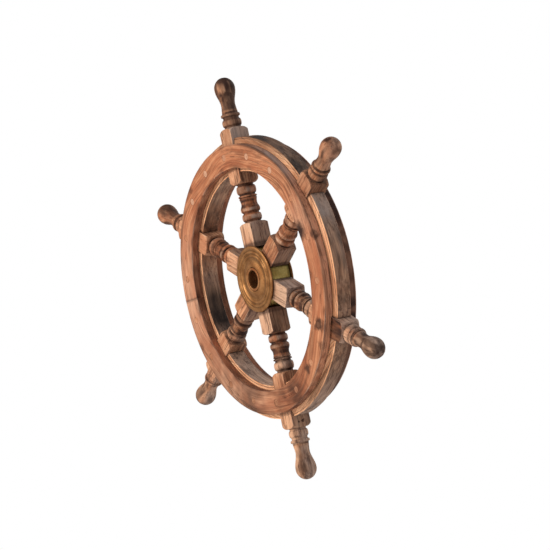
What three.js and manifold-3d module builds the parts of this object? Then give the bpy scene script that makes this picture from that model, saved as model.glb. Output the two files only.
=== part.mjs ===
// Ship steering wheel: six turned wooden spokes, a three-layer wooden rim, a brass hub and
// a brass axle sleeve that the wheel turns on.
// Millimetres. The axle runs along Y, the front of the wheel faces -Y, and one spoke points
// straight up along +Z. The origin is the centre of the hub.

import * as THREE from 'three';
import * as BufferGeometryUtils from 'three/examples/jsm/utils/BufferGeometryUtils.js';
import Module from 'manifold-3d';

const wasm = await Module();
wasm.setup();

// ---------- driving dimensions ----------
const SPOKES = 6;
const PITCH = (2 * Math.PI) / SPOKES;
const GAP = 0.3; // clearance between neighbouring pieces

const TIP_RADIUS = 305; // handle tip to axle centre: 610 mm over the handles
const BLOCK = 32; // side of the square blocks on each spoke

// rim: front ring, middle felloes, back ring
const RIM_HALF = 27; // half of the whole rim's thickness
const FELLOE_HALF = 13.5; // half of the middle layer's thickness
const FELLOE_EDGE_HALF = 11.5; // the same at the outer edge, where the faces slope back
const FELLOE_SLOPE = 203; // radius where that slope starts
const FELLOE_OUTER = 211;
const FELLOE_INNER = 160;
const FELLOE_EASED = 1.2; // chamfer on the inner edges
const RING_OUTER = 201.8;
const RING_INNER = 166.5;

// wooden pegs that pin the three layers together
const PEG_RADIUS = 5;
const PEG_CIRCLE = 185; // radius of the circle that the pegs sit on
const PEGS_PER_SPOKE = 3; // one through the spoke's block, one on each side of it
const PEG_SIDES = 10;
const PEG_PROUD = 0.2; // how far a peg's end stands inside the ring's face

// hub
const BARREL_OUTER = 45.7;
const BARREL_INNER = 36;
const BARREL_HALF = BLOCK / 2 - 0.1;
const CORE_OUTER = BARREL_INNER - 0.5;
const CORE_BORE = 22.6;
const PLATE_RADIUS = 49.4;
const PLATE_BACK = BLOCK / 2 + GAP; // plane where the plate's back face lies
const PLATE_BORE = 17.9;
const TENON_RADIUS = 8;
const TENON_START = 24.5;
const SOCKET_RADIUS = 8.5;

// axle sleeve
const SLEEVE_BORE = 13.7;
const SLEEVE_NECK = 17.4;
const SLEEVE_SHOULDER = 22;
const SLEEVE_SHOULDER_HALF = 15.6;
const SLEEVE_HALF = 21.5;

const SPOKE_SIDES = 16;
const ARC_STEPS = 10; // straight steps in a 60 degree arc of the rim
const RIM_SIDES = ARC_STEPS * SPOKES;
const HUB_SIDES = 32;

// ---------- materials ----------
const paint = (color, roughness, metalness) => new THREE.MeshStandardMaterial({ color, roughness, metalness });
const spokeWood = paint(0xa9714a, 0.75, 0);
const ringWood = paint(0xb87a50, 0.75, 0);
const felloeWood = paint(0x8f6a55, 0.8, 0);
const pegWood = paint(0xd6a67c, 0.75, 0);
const coreWood = paint(0x7a5238, 0.8, 0);
const brass = paint(0xa8894a, 0.4, 1);
const sleeveBrass = paint(0x9c7f3e, 0.35, 1);

const group = new THREE.Group();
group.name = 'ship_steering_wheel';

// ---------- helpers ----------
function solid(geometry) {
  const plain = geometry.clone();
  plain.deleteAttribute('normal');
  plain.deleteAttribute('uv');
  const merged = BufferGeometryUtils.mergeVertices(plain, 1e-4);
  const mesh = new wasm.Mesh({
    numProp: 3,
    vertProperties: new Float32Array(merged.attributes.position.array),
    triVerts: new Uint32Array(merged.index.array),
  });
  return new wasm.Manifold(mesh);
}

function toGeometry(body) {
  const mesh = body.getMesh();
  const geometry = new THREE.BufferGeometry();
  geometry.setAttribute('position', new THREE.BufferAttribute(new Float32Array(mesh.vertProperties), 3));
  geometry.setIndex(new THREE.BufferAttribute(new Uint32Array(mesh.triVerts), 1));
  return geometry;
}

function add(name, geometry, material) {
  geometry.computeVertexNormals();
  const mesh = new THREE.Mesh(geometry, material);
  mesh.name = name;
  group.add(mesh);
}

// A turned solid: profile is a list of [radius, height]; the axis is Y.
function turned(profile, sides) {
  const points = profile.map(([r, h]) => new THREE.Vector2(r, h));
  return new THREE.LatheGeometry(points, sides);
}

// A flat shape drawn in X and Z, from y = near to y = far.
function slab(shape, near, far) {
  const geometry = new THREE.ExtrudeGeometry(shape, { depth: far - near, bevelEnabled: false, curveSegments: 1 });
  geometry.rotateX(Math.PI / 2);
  geometry.translate(0, far, 0);
  return geometry;
}

// The point at radius r and angle a; a is measured from +Z towards +X.
const polar = (r, a) => new THREE.Vector2(r * Math.sin(a), r * Math.cos(a));

function arcPoints(r, from, to, steps) {
  const points = [];
  for (let i = 0; i <= steps; i++) {
    points.push(polar(r, from + ((to - from) * i) / steps));
  }
  return points;
}

function pegHole(a) {
  const centre = polar(PEG_CIRCLE, a);
  const radius = (PEG_RADIUS + GAP) / Math.cos(Math.PI / PEG_SIDES);
  const path = new THREE.Path();
  const points = [];
  for (let i = 0; i < PEG_SIDES; i++) {
    const t = a - (i * 2 * Math.PI) / PEG_SIDES; // holes run the other way round from outlines
    points.push(new THREE.Vector2(centre.x + radius * Math.sin(t), centre.y + radius * Math.cos(t)));
  }
  path.setFromPoints(points);
  return path;
}

function ringOfRadialHoles(body, radius, from, to) {
  let result = body;
  for (let k = 0; k < SPOKES; k++) {
    const drill = new THREE.CylinderGeometry(radius, radius, to - from, SPOKE_SIDES);
    drill.rotateX(Math.PI / 2);
    drill.translate(0, 0, (from + to) / 2);
    drill.rotateY(k * PITCH);
    result = result.subtract(solid(drill));
  }
  return result;
}

// ---------- axle sleeve: a stepped tube held between the two hub plates ----------
const sleeveProfile = [
  [SLEEVE_BORE, -SLEEVE_HALF],
  [SLEEVE_NECK, -SLEEVE_HALF],
  [SLEEVE_NECK, -SLEEVE_SHOULDER_HALF],
  [SLEEVE_SHOULDER, -SLEEVE_SHOULDER_HALF],
  [SLEEVE_SHOULDER, SLEEVE_SHOULDER_HALF],
  [SLEEVE_NECK, SLEEVE_SHOULDER_HALF],
  [SLEEVE_NECK, SLEEVE_HALF],
  [SLEEVE_BORE, SLEEVE_HALF],
  [SLEEVE_BORE, -SLEEVE_HALF],
];
add('axle_sleeve', turned(sleeveProfile, HUB_SIDES), sleeveBrass);

// ---------- hub core and barrel, each with six sockets for the spoke tenons ----------
const coreProfile = [
  [CORE_BORE, -BARREL_HALF],
  [CORE_OUTER, -BARREL_HALF],
  [CORE_OUTER, BARREL_HALF],
  [CORE_BORE, BARREL_HALF],
  [CORE_BORE, -BARREL_HALF],
];
const core = solid(turned(coreProfile, HUB_SIDES));
add('hub_core', toGeometry(ringOfRadialHoles(core, SOCKET_RADIUS, CORE_BORE - 3, CORE_OUTER + 3)), coreWood);

const barrelProfile = [
  [BARREL_INNER, -BARREL_HALF],
  [BARREL_OUTER, -BARREL_HALF],
  [BARREL_OUTER, BARREL_HALF],
  [BARREL_INNER, BARREL_HALF],
  [BARREL_INNER, -BARREL_HALF],
];
const barrel = solid(turned(barrelProfile, HUB_SIDES));
add('hub_barrel', toGeometry(ringOfRadialHoles(barrel, SOCKET_RADIUS, BARREL_INNER - 3, BARREL_OUTER + 3)), brass);

// ---------- hub plates: concentric ridges, a shallow dish and a raised boss at the bore ----------
// [radius, height above the plate's back face]
const plateFace = [
  [PLATE_RADIUS, 2.4],
  [PLATE_RADIUS - 1, 3.2],
  [43.6, 3.5],
  [42.8, 2.9],
  [41, 4.2],
  [38.6, 4.2],
  [37.4, 3.2],
  [35.8, 3.9],
  [33.2, 3.9],
  [31.6, 2.8],
  [27.6, 2.5],
  [21.6, 4.9],
  [PLATE_BORE, 4.9],
];
function hubPlate() {
  const profile = [[PLATE_BORE, 0], [PLATE_RADIUS, 0], ...plateFace, [PLATE_BORE, 0]];
  const plate = turned(profile, HUB_SIDES);
  plate.translate(0, PLATE_BACK, 0);
  return plate;
}
add('hub_back_plate', hubPlate(), brass);
const frontPlate = hubPlate();
frontPlate.rotateX(Math.PI);
add('hub_front_plate', frontPlate, brass);

// ---------- spokes ----------
// [distance from the axle centre, radius] from the tip inwards. The blocks are turned to
// BLOCK_TURNED, wider than the square's corners, so that only their shoulders come out round.
const BLOCK_TURNED = 23.6;
const spokeProfile = [
  [TIP_RADIUS, 0],
  // handle grip
  [302.6, 8],
  [297, 13.3],
  [289, 15.9],
  [281, 15.3],
  [272, 12.6],
  [263, 10.8],
  [250.6, 11.9],
  // thin ring
  [249.2, 14.4],
  [245.4, 14.4],
  [244.2, 12.1],
  [241.2, 12.1],
  // outer bead
  [238.6, 14.4],
  [232.6, 14.4],
  [229, 12.3],
  // rim block with turned shoulders
  [228, 13.2],
  [226.6, 17.5],
  [223, 21],
  [216, BLOCK_TURNED],
  [154, BLOCK_TURNED],
  [147, 21],
  [143.4, 17.5],
  [142, 13.2],
  [141, 12.1],
  // bead, thin ring and vase
  [136.4, 14.7],
  [130, 14.7],
  [126.2, 12],
  [124.7, 13.9],
  [121.9, 13.9],
  [120.6, 13],
  [112.5, 12.2],
  [107, 14.5],
  [101.4, 14.5],
  [98.2, 11.8],
  // inner bead
  [94.6, 14.6],
  [88.6, 14.6],
  [85.2, 12.2],
  // hub block with a turned shoulder, then the tenon
  [84.3, 13.2],
  [83.4, 17],
  [81, 20.6],
  [76.5, BLOCK_TURNED],
  [BARREL_OUTER + 0.4, BLOCK_TURNED],
  [BARREL_OUTER + 0.4, TENON_RADIUS],
  [TENON_START, TENON_RADIUS],
  [TENON_START, 0],
];

function spokeSolid() {
  const blank = turned(spokeProfile.map(([h, r]) => [r, h]).reverse(), SPOKE_SIDES);
  blank.rotateX(Math.PI / 2);
  const square = new THREE.BoxGeometry(BLOCK, BLOCK, TIP_RADIUS + 10);
  square.translate(0, 0, (TIP_RADIUS + 10) / 2);
  const hole = (PEG_RADIUS + GAP) / Math.cos(Math.PI / PEG_SIDES);
  const drill = new THREE.CylinderGeometry(hole, hole, BLOCK + 10, PEG_SIDES);
  drill.translate(0, 0, PEG_CIRCLE);
  return solid(blank).intersect(solid(square)).subtract(solid(drill));
}

const spokeGeometry = toGeometry(spokeSolid());
for (let k = 0; k < SPOKES; k++) {
  add(`spoke_${k + 1}`, spokeGeometry.clone().rotateY(k * PITCH), spokeWood);
}

// ---------- felloes: the rim's middle layer, one between each pair of spoke blocks ----------
const pegStep = PITCH / PEGS_PER_SPOKE;

// The outline in X and Z runs past the layer's edges; the turned ring then trims it.
function felloe() {
  const side = BLOCK / 2 + GAP;
  const outer = FELLOE_OUTER + 10;
  const inner = FELLOE_INNER - 10;
  const outerTrim = Math.asin(side / outer);
  const innerTrim = Math.asin(side / inner);
  const outline = [
    ...arcPoints(outer, outerTrim, PITCH - outerTrim, 4),
    ...arcPoints(inner, PITCH - innerTrim, innerTrim, 4),
  ];
  const shape = new THREE.Shape(outline);
  shape.holes.push(pegHole(pegStep), pegHole(2 * pegStep));
  const ringProfile = [
    [FELLOE_INNER, -FELLOE_HALF + FELLOE_EASED],
    [FELLOE_INNER + FELLOE_EASED, -FELLOE_HALF],
    [FELLOE_SLOPE, -FELLOE_HALF],
    [FELLOE_OUTER, -FELLOE_EDGE_HALF],
    [FELLOE_OUTER, FELLOE_EDGE_HALF],
    [FELLOE_SLOPE, FELLOE_HALF],
    [FELLOE_INNER + FELLOE_EASED, FELLOE_HALF],
    [FELLOE_INNER, FELLOE_HALF - FELLOE_EASED],
    [FELLOE_INNER, -FELLOE_HALF + FELLOE_EASED],
  ];
  const blank = solid(slab(shape, -FELLOE_HALF - 5, FELLOE_HALF + 5));
  return toGeometry(blank.intersect(solid(turned(ringProfile, RIM_SIDES))));
}

const felloeGeometry = felloe();
for (let k = 0; k < SPOKES; k++) {
  add(`felloe_${k + 1}`, felloeGeometry.clone().rotateY(k * PITCH), felloeWood);
}

// ---------- rings: one segment over each spoke, butted midway between the spokes ----------
function ringSegment() {
  const half = PITCH / 2 - GAP / 2 / RING_INNER;
  const outline = [
    ...arcPoints(RING_OUTER, -half, half, ARC_STEPS),
    ...arcPoints(RING_INNER, half, -half, ARC_STEPS),
  ];
  const shape = new THREE.Shape(outline);
  shape.holes.push(pegHole(-pegStep), pegHole(0), pegHole(pegStep));
  const near = -RIM_HALF;
  const far = -(FELLOE_HALF + GAP);
  // notch for the spoke's block, which stands proud of the felloes
  const notchFront = -(BLOCK / 2 + GAP);
  const notch = new THREE.BoxGeometry(BLOCK + 2 * GAP, 10, 80);
  notch.translate(0, notchFront + 5, PEG_CIRCLE);
  return toGeometry(solid(slab(shape, near, far)).subtract(solid(notch)));
}

const segment = ringSegment();
for (let k = 0; k < SPOKES; k++) {
  add(`front_ring_${k + 1}`, segment.clone().rotateY(k * PITCH), ringWood);
}
for (let k = 0; k < SPOKES; k++) {
  add(`back_ring_${k + 1}`, segment.clone().rotateZ(Math.PI).rotateY(k * PITCH), ringWood);
}

// ---------- pegs, right through all three layers ----------
const PEG_LENGTH = 2 * (RIM_HALF - PEG_PROUD);
for (let i = 0; i < SPOKES * PEGS_PER_SPOKE; i++) {
  const peg = new THREE.CylinderGeometry(PEG_RADIUS, PEG_RADIUS, PEG_LENGTH, PEG_SIDES);
  peg.translate(0, 0, PEG_CIRCLE);
  peg.rotateY(i * pegStep);
  add(`peg_${i + 1}`, peg, pegWood);
}

export default group;
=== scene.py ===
import math
from types import SimpleNamespace

import bmesh
import bpy
import numpy as np
from mathutils import Matrix, Vector


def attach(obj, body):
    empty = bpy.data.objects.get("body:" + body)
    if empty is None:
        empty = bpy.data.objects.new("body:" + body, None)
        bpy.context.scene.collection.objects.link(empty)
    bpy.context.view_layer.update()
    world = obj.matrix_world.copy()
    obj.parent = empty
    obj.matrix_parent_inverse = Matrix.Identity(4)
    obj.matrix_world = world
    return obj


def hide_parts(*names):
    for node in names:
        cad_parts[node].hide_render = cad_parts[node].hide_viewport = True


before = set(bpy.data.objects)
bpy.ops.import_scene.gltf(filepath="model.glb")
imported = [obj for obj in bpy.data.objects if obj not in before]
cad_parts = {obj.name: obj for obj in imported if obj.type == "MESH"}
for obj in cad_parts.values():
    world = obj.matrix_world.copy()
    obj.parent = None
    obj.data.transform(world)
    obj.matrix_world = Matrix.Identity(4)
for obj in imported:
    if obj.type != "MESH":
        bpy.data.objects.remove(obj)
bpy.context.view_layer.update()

WHEEL = "wheel"
SLEEVE = "axle_sleeve"

# ---------------------------------------------------------------- dimensions, in millimetres
SPOKES = 6
PITCH = 2 * math.pi / SPOKES
BLOCK = 32.0  # across the flats of a spoke's square blocks
BLOCK_TURNED = 23.6  # past the square's corners, so that a block stays square
TIP = 304.8
BULB_CENTRE = 288.0
BULB_RADIUS = 15.85

RIM_HALF = 27.0
FELLOE_HALF = 13.5
FELLOE_EDGE_HALF = 11.5
FELLOE_SLOPE = 203.0  # where the sloping outer edge starts
FELLOE_OUTER = 211.0
FELLOE_INNER = 160.0
RING_OUTER = 201.8
RING_INNER = 166.5
GAP = 0.3

PEG_CIRCLE = 185.0
PEG_RADIUS = 5.0
PEG_HALF = 26.8
PEG_STEP = PITCH / 3

BARREL_OUTER = 45.7
BARREL_INNER = 36.0
BARREL_HALF = 15.9
PLATE_BACK = 16.3
PLATE_BORE = 17.9
SOCKET_RADIUS = 8.5


# ---------------------------------------------------------------- numbers on points
def unit(values):
    """The values, held between 0 and 1."""
    return np.clip(values, 0, 1)


def bell(values, centre, width):
    return np.exp(-(((values - centre) / width) ** 2))


def lattice(ix, iy, iz, seed):
    h = (ix * 374761393 + iy * 668265263 + iz * 1440662683 + seed * 1274126177) & 0xFFFFFFFF
    h = ((h ^ (h >> 13)) * 1103515245) & 0xFFFFFFFF
    h = h ^ (h >> 16)
    return (h & 0xFFFF) / 32767.5 - 1.0


def noise_at(points, size, seed):
    """Smooth noise from -1 to 1 at each point, with features of the given size."""
    q = points / size + 1000.0
    i = np.floor(q).astype(np.int64)
    f = q - i
    f = f * f * (3 - 2 * f)
    total = 0
    for dx in (0, 1):
        for dy in (0, 1):
            for dz in (0, 1):
                w = (f[:, 0] if dx else 1 - f[:, 0])
                w = w * (f[:, 1] if dy else 1 - f[:, 1])
                w = w * (f[:, 2] if dz else 1 - f[:, 2])
                total = total + w * lattice(i[:, 0] + dx, i[:, 1] + dy, i[:, 2] + dz, seed)
    return total


def rising(values, start, soft):
    """0 up to start, rising to 1 over the soft distance past it."""
    return unit((values - start) / soft)


def falling(values, end, soft):
    """1, falling to 0 over the soft distance before end."""
    return unit((end - values) / soft)


def within(values, low, high, soft):
    """1 between low and high, falling to 0 over the soft distance outside."""
    return unit(np.minimum(values - low, high - values) / soft + 1)


def most(*layers):
    """The highest of the layers at each point."""
    return np.maximum.reduce(layers)


def uneven(values, points, amount, size, seed):
    """The values, raised and lowered by up to the given share of themselves, in patches."""
    return values * (1 + amount * noise_at(points, size, seed))


# ---------------------------------------------------------------- objects and meshes
def add_object(name, data):
    obj = bpy.data.objects.new(name, data)
    bpy.context.scene.collection.objects.link(obj)
    return obj


def new_mesh(name, points, faces):
    mesh = bpy.data.meshes.new(name)
    mesh.from_pydata([tuple(p) for p in points], [], [tuple(f) for f in faces])
    mesh.update()
    return mesh


def closed_mesh(name, points, faces):
    """A closed mesh whose faces all look outwards."""
    mesh = new_mesh(name, points, faces)
    bm = bmesh.new()
    bm.from_mesh(mesh)
    bmesh.ops.recalc_face_normals(bm, faces=bm.faces)
    if bm.calc_volume(signed=True) < 0:
        bmesh.ops.reverse_faces(bm, faces=bm.faces)
    bm.to_mesh(mesh)
    bm.free()
    mesh.update()
    return mesh


def grid_solid(name, grid, caps):
    """A closed solid from rows of points. Each row is a closed loop. caps: fan, ngon."""
    rows, cols, _ = grid.shape
    points = [tuple(p) for p in grid.reshape(-1, 3)]
    faces = []
    for i in range(rows - 1):
        for j in range(cols):
            k = (j + 1) % cols
            faces.append((i * cols + j, i * cols + k, (i + 1) * cols + k, (i + 1) * cols + j))
    if caps == "fan":
        for row, flip in ((0, True), (rows - 1, False)):
            centre = len(points)
            points.append(tuple(grid[row].mean(axis=0)))
            for j in range(cols):
                a, b = row * cols + j, row * cols + (j + 1) % cols
                faces.append((b, a, centre) if flip else (a, b, centre))
    else:
        last = (rows - 1) * cols
        faces += [tuple(reversed(range(cols))), tuple(range(last, last + cols))]
    return closed_mesh(name, points, faces)


def ring_solid(name, profile, sides):
    """A turned ring: a closed profile of (radius, y) carried round the Y axis."""
    n = len(profile)
    points = []
    for i in range(sides):
        a = 2 * math.pi * i / sides
        for r, y in profile:
            points.append((r * math.sin(a), y, r * math.cos(a)))
    faces = []
    for i in range(sides):
        i2 = (i + 1) % sides
        for j in range(n):
            j2 = (j + 1) % n
            faces.append((i * n + j, i2 * n + j, i2 * n + j2, i * n + j2))
    return closed_mesh(name, points, faces)


def cylinder_mesh(name, radius, length, sides, place):
    """A closed cylinder along Y, moved by place."""
    points = []
    for y in (-length / 2, length / 2):
        for i in range(sides):
            a = 2 * math.pi * i / sides
            points.append(place @ Vector((radius * math.sin(a), y, radius * math.cos(a))))
    faces = [range(sides), reversed(range(sides, 2 * sides))]
    for i in range(sides):
        k = (i + 1) % sides
        faces.append((i, i + sides, k + sides, k))
    return closed_mesh(name, points, faces)


def box_mesh(name, low, high):
    points = [(x, y, z) for x in (low[0], high[0]) for y in (low[1], high[1]) for z in (low[2], high[2])]
    faces = [(0, 1, 3, 2), (4, 6, 7, 5), (0, 4, 5, 1), (2, 3, 7, 6), (0, 2, 6, 4), (1, 5, 7, 3)]
    return closed_mesh(name, points, faces)


def join_meshes(name, meshes):
    points, faces = [], []
    for mesh in meshes:
        start = len(points)
        points += [tuple(v.co) for v in mesh.vertices]
        faces += [tuple(start + i for i in p.vertices) for p in mesh.polygons]
    return new_mesh(name, points, faces)


def peg_holes(radius, sides, angles):
    """Cutters for the peg holes at these angles round the wheel, as one mesh."""
    out = Matrix.Translation((0, 0, PEG_CIRCLE))
    drills = [cylinder_mesh("drill", radius, 60, sides, Matrix.Rotation(a, 4, "Y") @ out) for a in angles]
    return join_meshes("drills", drills)


def cut(mesh, cutters):
    """mesh minus each cutter mesh, as a new mesh."""
    body = add_object("cut_body", mesh)
    tools = []
    for i, cutter in enumerate(cutters):
        tool = add_object(f"cut_tool_{i}", cutter)
        mod = body.modifiers.new(f"cut_{i}", "BOOLEAN")
        mod.operation = "DIFFERENCE"
        mod.solver = "EXACT"
        mod.object = tool
        tools.append(tool)
    graph = bpy.context.evaluated_depsgraph_get()
    result = bpy.data.meshes.new_from_object(body.evaluated_get(graph))
    for o in tools + [body]:
        bpy.data.objects.remove(o)
    return result


def coords(mesh):
    data = np.empty(len(mesh.vertices) * 3)
    mesh.vertices.foreach_get("co", data)
    return data.reshape(-1, 3)


def from_axle(p):
    return np.hypot(p[:, 0], p[:, 2])


def set_coords(mesh, points):
    mesh.vertices.foreach_set("co", np.ascontiguousarray(points).ravel())
    mesh.update()


def wear(mesh, depth, size, seed):
    """Take an uneven skin off a mesh, at most depth thick, in millimetres."""
    points = coords(mesh)
    normals = np.empty(len(mesh.vertices) * 3)
    mesh.vertex_normals.foreach_get("vector", normals)
    amount = 0.5 + 0.35 * noise_at(points, size, seed) + 0.15 * noise_at(points, size / 3, seed + 1)
    set_coords(mesh, points - normals.reshape(-1, 3) * (depth * unit(amount))[:, None])


def paint(mesh, name, values):
    """Store a number or a vector for each point, for the materials to read."""
    values = np.asarray(values, dtype=np.float32)
    kind, field = ("FLOAT_VECTOR", "vector") if values.ndim == 2 else ("FLOAT", "value")
    layer = mesh.attributes.new(name, kind, "POINT")
    layer.data.foreach_set(field, np.ascontiguousarray(values).ravel())


def piece(name, mesh, material, node, body, turn=None, sharp=35):
    """Finish a mesh in millimetres as the visible piece, in metres, for one CAD node."""
    if turn is not None:
        mesh.transform(turn)
    mesh.transform(Matrix.Scale(0.001, 4))
    mesh.polygons.foreach_set("use_smooth", [True] * len(mesh.polygons))
    mesh.set_sharp_from_angle(angle=math.radians(sharp))
    mesh.materials.clear()
    mesh.materials.append(material)
    mesh.update()
    obj = add_object(name, mesh)
    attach(obj, body)
    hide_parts(node)


# ---------------------------------------------------------------- node helpers
class Graph:
    """A material's nodes, with a short call for each kind that the materials share."""

    def __init__(self, material):
        material.use_nodes = True
        self.tree = material.node_tree
        self.tree.nodes.clear()

    def node(self, kind):
        return self.tree.nodes.new("ShaderNode" + kind)

    def feed(self, socket, value):
        """Link or set a socket; a colour is given as three numbers."""
        if isinstance(value, bpy.types.NodeSocket):
            self.tree.links.new(value, socket)
        elif socket.type == "RGBA":
            socket.default_value = (*value, 1.0)
        else:
            socket.default_value = value

    def attribute(self, name, output):
        n = self.node("Attribute")
        n.attribute_name = name
        return n.outputs[output]

    def coordinate(self, output):
        return self.node("TexCoord").outputs[output]

    def vector(self, op, a, b):
        n = self.node("VectorMath")
        n.operation = op
        self.feed(n.inputs[0], a)
        self.feed(n.inputs[1], b)
        return n.outputs["Value" if op == "DISTANCE" else "Vector"]

    def noise(self, where, scale, detail, rough, output="Fac"):
        """Noise at where times scale, which stretches it along the smaller numbers."""
        n = self.node("TexNoise")
        self.feed(n.inputs["Vector"], self.vector("MULTIPLY", where, scale))
        n.inputs["Scale"].default_value = 1.0
        n.inputs["Detail"].default_value = detail
        n.inputs["Roughness"].default_value = rough
        return n.outputs[output]

    def math(self, op, a, b=0.0, clamp=False):
        n = self.node("Math")
        n.operation = op
        n.use_clamp = clamp
        self.feed(n.inputs[0], a)
        self.feed(n.inputs[1], b)
        return n.outputs[0]

    def times(self, a, b):
        return self.math("MULTIPLY", a, b)

    def plus(self, a, b):
        return self.math("ADD", a, b)

    def minus(self, a, b):
        return self.math("SUBTRACT", a, b)

    def ramp(self, value, low, high, out_low=0.0, out_high=1.0):
        n = self.node("MapRange")
        n.interpolation_type = "SMOOTHSTEP"
        for name, number in (("Value", value), ("From Min", low), ("From Max", high),
                             ("To Min", out_low), ("To Max", out_high)):
            self.feed(n.inputs[name], number)
        return n.outputs[0]

    def blend(self, colour, other, mask, strength=1.0):
        """colour, mixed towards other by mask times strength."""
        n = self.node("Mix")
        n.data_type = "RGBA"
        self.feed(n.inputs[0], mask if strength == 1.0 else self.times(mask, strength))
        self.feed(n.inputs[6], colour)
        self.feed(n.inputs[7], other)
        return n.outputs[2]

    def layers(self, colour, *layers):
        """colour under layers, each (colour, mask, strength)."""
        for other, mask, strength in layers:
            colour = self.blend(colour, other, mask, strength)
        return colour

    def bump(self, height, strength, distance):
        n = self.node("Bump")
        n.inputs["Strength"].default_value = strength
        n.inputs["Distance"].default_value = distance
        self.feed(n.inputs["Height"], height)
        return n.outputs[0]

    def surface(self, colour, roughness, normal, metallic=0.0, specular=0.5):
        shader = self.node("BsdfPrincipled")
        out = self.node("OutputMaterial")
        self.feed(shader.inputs["Base Color"], colour)
        self.feed(shader.inputs["Roughness"], roughness)
        self.feed(shader.inputs["Normal"], normal)
        shader.inputs["Metallic"].default_value = metallic
        shader.inputs["Specular IOR Level"].default_value = specular
        self.feed(out.inputs[0], shader.outputs[0])


# ---------------------------------------------------------------- wood
BLEACHED_WOOD = (0.62, 0.47, 0.37)
SILVER_GREY = (0.33, 0.262, 0.238)  # the most weathered sides
CENTRED = (-0.5, -0.5, -0.5)  # brings noise colours to lie about zero


def wood_figure(g, grain):
    """The parts of a wood's figure, from noise drawn out along the grain."""
    warp = g.vector("ADD", g.noise(grain, (7, 16, 16), 2.0, 0.5, "Color"), CENTRED)
    wavy = g.vector("ADD", grain, g.vector("MULTIPLY", warp, (0.0, 0.016, 0.016)))
    fibre = g.noise(wavy, (24, 520, 520), 4.0, 0.62)
    band = g.noise(wavy, (17, 205, 205), 3.0, 0.6)
    swirl = g.noise(wavy, (4.5, 46, 46), 1.0, 0.4)
    crack = g.math("ABSOLUTE", g.minus(g.noise(wavy, (7, 240, 240), 2.0, 0.5), 0.5))
    crack_zone = g.ramp(g.noise(grain, (18, 60, 60), 2.0, 0.5), 0.5, 0.62)
    return SimpleNamespace(
        fibre=fibre,
        fine=g.noise(wavy, (60, 2100, 2100), 2.0, 0.6),
        weave=g.plus(g.times(fibre, 0.4), g.times(band, 0.6)),
        swirl=g.math("SINE", g.times(swirl, 62.0)),
        patch=g.noise(grain, (14, 30, 30), 3.0, 0.6),
        streak=g.ramp(g.noise(wavy, (9, 95, 95), 3.0, 0.6), 0.52, 0.68),
        line=g.ramp(g.noise(wavy, (13, 250, 250), 3.0, 0.6), 0.56, 0.68),
        fleck=g.ramp(g.noise(grain, (62, 185, 185), 3.0, 0.6), 0.58, 0.68),
        blotch=g.ramp(g.noise(grain, (26, 38, 38), 4.0, 0.65), 0.56, 0.72),
        crack=g.times(g.ramp(crack, 0.0, 0.014, 1.0, 0.0), crack_zone),
    )


def weather_sides(g, colour, figure, tone, varnish, grey, umber, bleached, weather):
    """Faces along the axle keep their colour; edges and walls weather towards grey."""
    split = g.node("SeparateXYZ")
    g.feed(split.inputs[0], g.coordinate("Normal"))
    side = g.ramp(g.math("ABSOLUTE", split.outputs["Y"]), 0.35, 0.8, 1.0, 0.0)
    frost = g.times(side, tone)
    side = g.times(side, g.ramp(figure.patch, 0.25, 0.6, 0.6, 1.0))
    side = g.times(side, g.minus(1.0, varnish))
    side = g.times(side, g.minus(1.0, g.times(tone, 0.6)))
    colour = g.blend(colour, grey, side, weather)
    colour = g.blend(colour, SILVER_GREY, frost, g.ramp(figure.patch, 0.3, 0.65, 0.75, 0.45))
    colour = g.blend(colour, umber, g.times(g.ramp(figure.weave, 0.52, 0.42), side), 0.8)
    thread = g.plus(g.times(figure.fine, 0.5), g.times(figure.fibre, 0.5))
    return g.blend(colour, bleached, g.times(g.ramp(thread, 0.53, 0.66), side), 0.42)


def darken_knots(g, colour, dark, knots):
    """Knots, burns or nail holes, each (place, radius in metres, darkness), with ragged edges."""
    where = g.coordinate("Object")
    ragged = g.vector("ADD", g.noise(where, (140, 140, 140), 3.0, 0.6, "Color"), CENTRED)
    near = g.vector("ADD", where, g.vector("MULTIPLY", ragged, (0.016, 0.016, 0.016)))
    for place, radius, darkness in knots:
        away = g.vector("DISTANCE", near, place)
        colour = g.blend(colour, dark, g.ramp(away, radius * 0.25, radius, darkness, 0.0))
    return colour


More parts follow.
